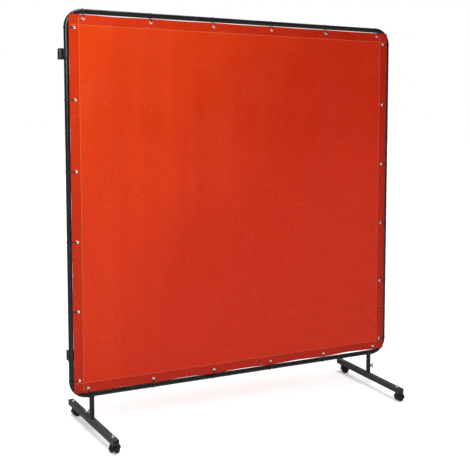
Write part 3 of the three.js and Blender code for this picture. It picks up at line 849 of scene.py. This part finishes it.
def build_clip(name):
    """A coupling clip: its plan carried up with rounded ends."""
    low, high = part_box(name)
    tube = np.array([-TUBE_LINE, 0, low.z])
    heading = (middle(name) - tube) * [1, 1, 0]
    heading /= np.linalg.norm(heading)
    part = prism(clip_outline(), round_over(high.z - low.z, 1.1 * MM))
    part = place(part, tube, -heading, np.cross(Z_AXIS, -heading), Z_AXIS)
    piece(f"{name}_clip", part, NYLON, name, "black_plastic", [name], sharp=40)


# ---- curtain ----


EYELET_PLACES = np.linspace(-1, 1, EYELETS_PER_SIDE) * (RING_HALF - EYELET_END)
EYELET_PITCH = EYELET_PLACES[1] - EYELET_PLACES[0]


def laced_points(inset):
    """For every eyelet: its side's name, its number there, the way inwards, and the point beside it in
    the ring's plane at an inset from the ring's outside."""
    for side, (inward, along) in SIDES.items():
        for k, distance in enumerate(EYELET_PLACES):
            point = along * distance - inward * (RING_HALF - inset) + [0, 0, RING_MID_Z]
            yield side, k + 1, inward, point


def hang(x, z):
    """How the film hangs, at points of its flat plane: (shift along x, shift along z, forward bulge).
    Between two eyelets the edge draws in by a few millimetres, most at the bottom right, and the field
    has slow upright waves that die away at the eyelets."""

    def near(reach, distance, width):
        return np.exp(-(((reach - distance) / width) ** 2))

    inside = RING_HALF - EYELET_END
    spans = []
    for run in (x, z):
        spans.append(np.where(np.abs(run) < inside, np.sin(math.pi * (run + inside) / EYELET_PITCH) ** 2, 0))
    share = (x / FILM_X + 1) / 2
    slack = np.where(z < 0, 1.2 + 4.6 * share, 2.6 - 2.2 * share)
    draw_x = -np.sign(x) * 0.8 * MM * spans[1] * near(FILM_X, np.abs(x), 60 * MM)
    draw_z = -np.sign(z) * slack * MM * spans[0] * near(FILM_Z, np.abs(z), 60 * MM)
    draw_z += np.where(z < 0, 4 * MM * share**2, 0) * near(FILM_Z, -z, 14 * MM)
    border = np.minimum(FILM_X - np.abs(x), FILM_Z - np.abs(z))
    free = np.clip((border - 28 * MM) / (190 * MM), 0, 1)
    free = free * free * (3 - 2 * free)
    lean = 0.12 * z + 0.05 * np.sin(2.1 * z)
    waves = (
        2.6 * np.sin(7.3 * (x + lean) + 0.4)
        + 1.5 * np.sin(15.1 * (x - 0.6 * lean) + 1.9)
        + 1.2 * np.sin(4.1 * x + 2.3 * z)
        + 0.8 * np.sin(5.7 * z + 0.9)
    )
    ripple = 0.7 * np.sin(TURN * (x + inside) / EYELET_PITCH) * near(FILM_Z, z, 0.35)
    return draw_x, draw_z, (free * (waves + 3 * ripple)) * MM


def hung(x, z, y):
    """Points of the hanging film at flat places (x, z), y in front of or behind its face."""
    shift_x, shift_z, bulge = hang(x, z)
    return np.stack([x + shift_x, FILM_FRONT - bulge + y, z + shift_z + RING_MID_Z], axis=-1)


def well_inside(place, low, high):
    """Whether an eyelet at a place has all its faces between low and high."""
    return low + EYELET_CLEAR < place < high - EYELET_CLEAR


def grid_lines(low, high, places, step):
    """Lines from low to high about a step apart, with five close ones across each place inside."""
    near = EYELET_CELLS * np.array([-1, -0.5, 0, 0.5, 1])
    kept = [place + near for place in places if well_inside(place, low, high)]
    stops = np.unique(np.round(np.concatenate([[low, high], *kept]), 7))
    filled = [stops]
    for a, b in zip(stops[:-1], stops[1:]):
        filled.append(np.linspace(a, b, math.ceil((b - a) / step) + 1)[1:-1])
    return np.sort(np.concatenate(filled))


def film_part(x_range, z_range, behind, thickness, step=24 * MM):
    """A thin closed shell of film over a rectangle of the panel's plane, with a round hole at each eyelet.
    The rectangle is a grid whose lines crowd round the eyelets; the four by four cells at each are
    replaced by a ring of faces from their square outline to the hole. Front and back are the same grid,
    joined by strips along every edge, and all of it hangs as the function hang says."""
    centres = np.array([(point[0], point[2] - RING_MID_Z) for *_, point in laced_points(EYELET_INSET)])
    xs = grid_lines(*x_range, np.unique(np.round(centres[:, 0], 7)), step)
    zs = grid_lines(*z_range, np.unique(np.round(centres[:, 1], 7)), step)
    columns = len(xs)
    x, z = np.meshgrid(xs, zs)
    flat = np.stack([x.ravel(), z.ravel()], axis=1)
    quads = quads_of(len(zs), columns)
    cell_x, cell_z = np.meshgrid((xs[:-1] + xs[1:]) / 2, (zs[:-1] + zs[1:]) / 2)
    keep = np.ones(cell_x.size, bool)
    extra_points, extra_faces, hole_loops = [], [], []
    start = len(flat)
    for cx, cz in centres:
        if not (well_inside(cx, *x_range) and well_inside(cz, *z_range)):
            continue
        block = (np.abs(cell_x - cx) < EYELET_CELLS) & (np.abs(cell_z - cz) < EYELET_CELLS)
        keep &= ~block.ravel()
        i, j = np.argmin(np.abs(xs - cx)), np.argmin(np.abs(zs - cz))
        steps = [(-2, k) for k in range(-2, 2)] + [(k, 2) for k in range(-2, 2)]
        steps += [(2, k) for k in range(2, -2, -1)] + [(k, -2) for k in range(2, -2, -1)]
        square = np.array([(j + a) * columns + i + b for a, b in steps])
        away = flat[square] - [cx, cz]
        rim = away / np.linalg.norm(away, axis=1, keepdims=True) * EYELET_HOLE + [cx, cz]
        hole = np.arange(16) + start
        extra_points.append(rim)
        extra_faces.append(np.stack([square, np.roll(square, -1), np.roll(hole, -1), hole], axis=1))
        hole_loops.append(hole)
        start += 16
    plane = np.concatenate([flat, *extra_points])
    faces = np.concatenate([quads[keep], *extra_faces])
    points = hung(plane[:, 0], plane[:, 1], behind)
    back = points + [0, thickness, 0]
    count = len(points)
    number = np.arange(len(flat)).reshape(len(zs), columns)
    border = np.concatenate([number[0], number[1:, -1], number[-1, -2::-1], number[-2:0:-1, 0]])
    strips = []
    for loop in [border, *hole_loops]:
        strips.append(np.stack([loop, np.roll(loop, -1), np.roll(loop, -1) + count, loop + count], axis=1))
    every = np.concatenate([faces, faces[:, ::-1] + count, *strips])
    return np.concatenate([points, back]), every.tolist()


def weld_part(level, sign):
    """The seam that closes a hem: a low rounded strip with small cross ribs, along the hem's inner edge."""
    run, side = (FILM_X, FILM_Z) if level else (FILM_Z, FILM_X)
    reach = run - HEM_W * 0.2
    across = np.linspace(-1, 1, 9)
    along, over = np.meshgrid(np.linspace(-reach, reach, 420), across * WELD_W / 2, indexing="ij")
    line = sign * (side - HEM_W)
    x, z = (along, line + over) if level else (line + over, along)
    crown = 0.16 * MM * (1 - across[None, :] ** 2) * (1 + 0.35 * np.sin(along / (1.9 * MM)))
    outer, inner = hung(x, z, -0.03 * MM - crown), hung(x, z, 0.02 * MM)
    loop = np.concatenate([outer, inner[:, ::-1]], axis=1)
    rows = np.concatenate([drawn_in(loop[:1]), loop, drawn_in(loop[-1:])])
    return grid(rows, close_columns=True)


def build_curtain():
    """The film, its four doubled hems behind it, the welds that close them and the eyelets."""
    wide, tall = (-FILM_X, FILM_X), (-FILM_Z, FILM_Z)
    settings = {"body": "panel", "slot": "curtain_vinyl", "merge": 1e-7}
    part = film_part(wide, tall, 0, FILM_T)
    film = piece("curtain_film", part, FILM, replaces=["curtain"], sharp=60, **settings)
    edges = {"top": (True, 1), "bottom": (True, -1), "left": (False, -1), "right": (False, 1)}
    on_film = []
    for name, (level, sign) in edges.items():
        side = FILM_Z if level else FILM_X
        strip = sorted((sign * side, sign * (side - HEM_W)))
        x_range, z_range = (wide, strip) if level else (strip, tall)
        behind = FILM_T + FILM_GAP + (0 if level else HEM_T + FILM_GAP)
        # The hems take the lightened copy of the film's vinyl: painted light that makes up for the backlight
        # they block.
        hem = film_part(x_range, z_range, behind, HEM_T)
        on_film.append(piece(f"curtain_hem_{name}", hem, HEM_FILM_PAINTED_LIGHTER, sharp=60, **settings))
    for name, (level, sign) in edges.items():
        on_film.append(piece(f"hem_weld_{name}", weld_part(level, sign), WELD_FILM, **settings))
    on_film += build_eyelets()


def eyelet_profile():
    """Rolled flange in front, barrel through the film and a flat washer behind, as one closed outline."""
    front = arc((6.2 * MM, 0.2 * MM), 1.8 * MM, 0, math.pi, 13)
    front[:, 1] *= 0.9
    hole, flange = EYELET_HOLE / MM, EYELET_FLANGE / MM
    back = [(hole + 0.05, -1.3), (hole + 0.5, -1.7), (flange - 0.4, -1.6), (flange, -1.2)]
    back += [(flange - 0.2, -0.9), (hole + 0.6, -0.85), (hole + 0.6, 0.02)]
    return np.concatenate([front, in_mm(*back)])


def build_eyelets():
    """One eyelet in each hole of the film."""
    made = []
    shape = loop_lathe(eyelet_profile(), 36)
    for side, number, inward, point in laced_points(EYELET_INSET):
        part = place(shape, point + [0, FILM_FRONT, 0], inward, np.cross(FORWARD, inward), FORWARD)
        made.append(piece(f"eyelet_{side}_{number}", part, NICKEL, "panel", "eyelet_metal", sharp=50))
    return made


# ---- cable ties ----


def belt(steps_round=40, steps_turn=16):
    """The band's middle line and its outward normals, in a tie's own plane: x in towards the curtain and
    y forwards. A belt round two circles, the tube and the turn in the eyelet."""
    turn_at = np.array([EYELET_INSET - TUBE_R - TIE_TURN_R, -(FILM_FRONT + FILM_BACK) / 2])
    distance = np.linalg.norm(turn_at)
    heading = math.atan2(turn_at[1], turn_at[0])
    lean = math.acos((TIE_TUBE_R - TIE_TURN_R) / distance)
    round_angle = np.linspace(heading + lean, heading - lean + TURN, steps_round)
    turn_angle = np.linspace(heading - lean, heading + lean, steps_turn)
    angle = np.concatenate([round_angle, turn_angle])
    normal = np.stack([np.cos(angle), np.sin(angle)], axis=1)
    radius = np.repeat([TIE_TUBE_R, TIE_TURN_R], [steps_round, steps_turn])[:, None]
    centre = np.repeat([[0.0, 0.0], turn_at], [steps_round, steps_turn], axis=0)
    return centre + radius * normal, normal


def tie_part():
    """One cable tie: the band, its ratchet head at the back of the tube and the cut-off tail."""
    centres, normals = belt()
    flat = np.column_stack([centres, np.zeros(len(centres))])
    out = np.column_stack([normals, np.zeros(len(centres))])
    along = np.tile(Z_AXIS, (len(centres), 1))
    section = rounded_rectangle(TIE_T / 2, TIE_W / 2, 0.35 * MM, 2)
    band = sweep(flat, out, along, section)
    head = ((3.4, 2.6, 4), 0.9, (0, -2.2))
    lip = ((1, 1.2, 3), 0.5, (-3.6, -1.2))
    tail = ((2.4, 0.6, 2.3), 0.3, (4.4, -2.6))
    parts = [band]
    for half, radius, (beside, beyond) in (head, lip, tail):
        block = rounded_block(in_mm(*half), radius * MM)
        parts.append(moved(block, (beside * MM, beyond * MM - TIE_TUBE_R, 0)))
    return put_together(*parts)


def build_ties():
    """A cable tie through every eyelet."""
    shape = tie_part()
    for side, number, inward, point in laced_points(TUBE_R):
        part = place(shape, point, inward, FORWARD, np.cross(inward, FORWARD))
        name = f"tie_{side}_{number}"
        piece(f"cable_{name}", part, NYLON, "panel", "black_plastic", [name])


# ---- what is carried over from the frame ----


def dress_spigots():
    """The inner tubes stay as they are and take the feet's paint."""
    for side in FEET:
        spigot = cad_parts[f"{side}_spigot"]
        spigot.data.materials.clear()
        spigot.data.materials.append(FOOT_PAINT)


# ---- stage ----


def shown_rays(tree):
    """One where a surface is looked at, straight or through the film, and nought where it only lights."""
    rays = node(tree, "ShaderNodeLightPath").outputs
    return math_node(tree, "MAXIMUM", rays["Is Camera Ray"], rays["Is Transmission Ray"])


def build_floor():
    """A wide pale floor, faintly lit from within, that gives back less light than it shows."""
    reach = 60.0
    corners = np.array([[-1, -1, 0], [1, -1, 0], [1, 1, 0], [-1, 1, 0]]) * reach
    mesh = bpy.data.meshes.new("studio_floor")
    mesh.from_pydata(corners.tolist(), [], [[0, 1, 2, 3]])
    material, tree, surface, _ = new_material("floor_white")
    values = {
        "Base Color": mixed(tree, shown_rays(tree), (0.3, 0.3, 0.3, 1), (0.95, 0.95, 0.95, 1)),
        "Emission Color": (1, 1, 1, 1),
        "Emission Strength": math_node(tree, "MULTIPLY", shown_rays(tree), 0.11),
        "Roughness": 0.9,
        "Specular IOR Level": 0.0,
    }
    for key, value in values.items():
        feed(tree, surface.inputs[key], value)
    mesh.materials.append(material)
    stand("studio_floor", mesh)


def build_world():
    """A white backdrop for the eye and through the film, soft light for surfaces, and a dim room in gloss."""
    world = bpy.data.worlds.new("studio")
    world.use_nodes = True
    tree = world.node_tree
    tree.nodes.clear()
    glossy = node(tree, "ShaderNodeLightPath").outputs["Is Glossy Ray"]
    on_surfaces, in_gloss = 0.44, 0.1
    dimmed = ramp(tree, glossy, 0.0, 1.0, on_surfaces, in_gloss)
    strength = math_node(tree, "MAXIMUM", shown_rays(tree), dimmed)
    sky = node(tree, "ShaderNodeBackground", {"Color": (1, 1, 1, 1), "Strength": strength})
    node(tree, "ShaderNodeOutputWorld", {"Surface": sky.outputs[0]})
    bpy.context.scene.world = world


def build_light(name, kind, at, target, **settings):
    """A light standing at a place and looking at a target, unseen through the film."""
    light = bpy.data.lights.new(name, kind)
    for key, value in settings.items():
        setattr(light, key, value)
    lamp = stand(name, light)
    lamp.visible_transmission = False
    lamp.location = at
    lamp.rotation_euler = (Vector(target) - Vector(at)).to_track_quat("-Z", "Y").to_euler()


def build_lights():
    """A broad soft sun overhead, and a tall softbox in front of the curtain's left side."""
    build_light("soft_sun", "SUN", (-0.2, -0.5, 5.0), (0, 0, 0), energy=2.7, angle=math.radians(36))
    softbox = {"shape": "RECTANGLE", "size": 1.6, "size_y": 2.4, "energy": 112}
    build_light("left_softbox", "AREA", (-2.1, -3.2, 3.1), (-0.2, 0, 1.75), **softbox)


def build_camera():
    """Standing eye height, in front and to the left, looking a little down."""
    place_of = (-1.929, -3.802, 1.522)
    tilt, turn = 85.7, -26.4
    lens = bpy.data.cameras.new("camera")
    lens.sensor_width = 36
    lens.lens = 61.3
    lens.shift_y = -0.1
    view = stand("camera", lens)
    view.rotation_mode = "XYZ"
    view.location = place_of
    view.rotation_euler = (math.radians(tilt), 0, math.radians(turn))
    bpy.context.scene.camera = view


def set_view():
    """Plain colours, so that white stays white and the film keeps its red."""
    view = bpy.context.scene.view_settings
    view.view_transform = "Standard"
    view.look = "None"
    view.exposure = 0
    view.gamma = 1


# ---- assembly ----

build_camera()
build_ring()
for side in FEET:
    build_leg(side)
    build_foot(side)
    build_clamp(side)
    for end in ENDS:
        build_stem(side, end)
        build_castor(side, end)
for clip in ("upper_coupler", "lower_coupler"):
    build_clip(clip)
build_curtain()
build_ties()
dress_spigots()
build_floor()
build_world()
build_lights()
set_view()
